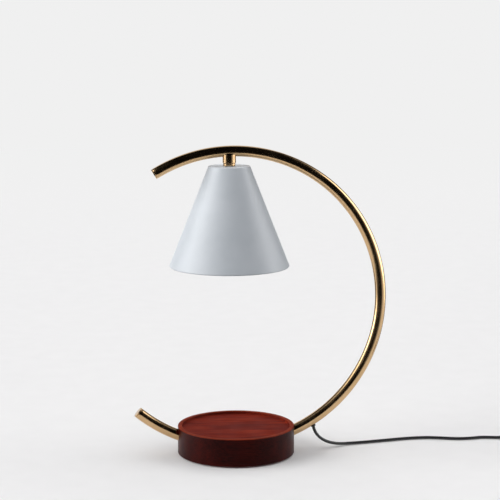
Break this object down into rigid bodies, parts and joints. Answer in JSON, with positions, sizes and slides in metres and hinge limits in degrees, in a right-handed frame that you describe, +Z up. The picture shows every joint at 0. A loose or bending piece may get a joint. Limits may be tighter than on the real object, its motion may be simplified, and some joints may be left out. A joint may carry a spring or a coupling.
{
  "type": "table lamp",
  "caption": "Candle warmer table lamp: round wooden dish foot, brass tube bent into an open circle, white conical shade over a reflector bulb, in-line dimmer and plug.",
  "frame": {"origin": "middle of the foot pad's underside, on the table", "axes": "+Z up; the tube's circle lies in the XZ plane, open towards -X, and the cord leaves towards +X"},
  "size_m": [0.581, 0.1373, 0.3446],
  "materials": {
    "wood": "turned hardwood, red-brown satin lacquer",
    "brass": "polished brass",
    "shade_paint": "satin white paint on spun steel",
    "steel": "zinc-plated steel",
    "iron": "plain cast iron",
    "foam": "closed-cell foam pad",
    "black_rubber": "moulded black rubber",
    "cord_vinyl": "black vinyl cord jacket",
    "black_plastic": "moulded black plastic",
    "ceramic": "glazed white ceramic",
    "brown_wire": "brown core insulation",
    "blue_wire": "blue insulation",
    "board": "printed circuit board",
    "bulb_glass": "clear glass, the bowl silvered"
  },
  "bodies": {
    "lamp": {"base_dish": "wood", "ballast_front": "iron", "ballast_back": "iron", "cover_plate": "steel", "foot_pad": "foam", "cover_screw_1": "steel", "cover_screw_2": "steel", "cover_screw_3": "steel", "tube_screw_left": "steel", "tube_screw_right": "steel", "tube_insert_left": "steel", "tube_insert_right": "steel", "arc_tube": "brass", "end_plug_top": "brass", "end_plug_stub": "brass", "grommet": "black_rubber", "inner_lead": "cord_vinyl", "boss_collar": "brass", "spacer_ring": "brass", "nipple": "steel", "shade": "shade_paint", "lock_washer": "steel", "shade_nut": "steel", "bracket_nut": "steel", "holder_bracket": "steel", "holder_sleeve_left": "steel", "holder_sleeve_right": "steel", "holder_screw_left": "steel", "holder_screw_right": "steel", "holder_body": "ceramic", "contact_live": "brass", "contact_neutral": "brass", "wire_live": "brown_wire", "wire_neutral": "blue_wire", "cord_run": "cord_vinyl", "cord_link": "cord_vinyl", "cord_coil": "cord_vinyl", "cord_tail": "cord_vinyl", "cord_tie": "black_plastic", "dimmer_base": "black_plastic", "dimmer_cover": "black_plastic", "dimmer_pot": "steel", "dimmer_board": "board", "dimmer_capacitor": "blue_wire", "dimmer_screw_left": "steel", "dimmer_screw_right": "steel", "dimmer_relief_in": "black_rubber", "dimmer_relief_out": "black_rubber", "plug_relief": "black_rubber", "plug_body": "black_plastic", "plug_blade_left": "brass", "plug_blade_right": "brass"},
    "bulb": {"bulb_cap": "ceramic", "bulb_pin_front": "steel", "bulb_pin_back": "steel", "bulb_reflector": "bulb_glass", "bulb_burner": "bulb_glass", "bulb_lens": "bulb_glass"},
    "dimmer_knob": {"dimmer_wheel": "black_plastic", "dimmer_spindle": "steel"}
  },
  "joints": [
    {"name": "bulb_twist", "type": "hinge", "parent": "lamp", "child": "bulb", "pos_m": [-0.007, 0, 0.28], "axis": [0, 0, -1], "range_deg": [0, 20]},
    {"name": "dimmer_turn", "type": "hinge", "parent": "lamp", "child": "dimmer_knob", "pos_m": [0.384, 0.018, 0.009], "axis": [0, 0, 1], "range_deg": [0, 270]}
  ]
}
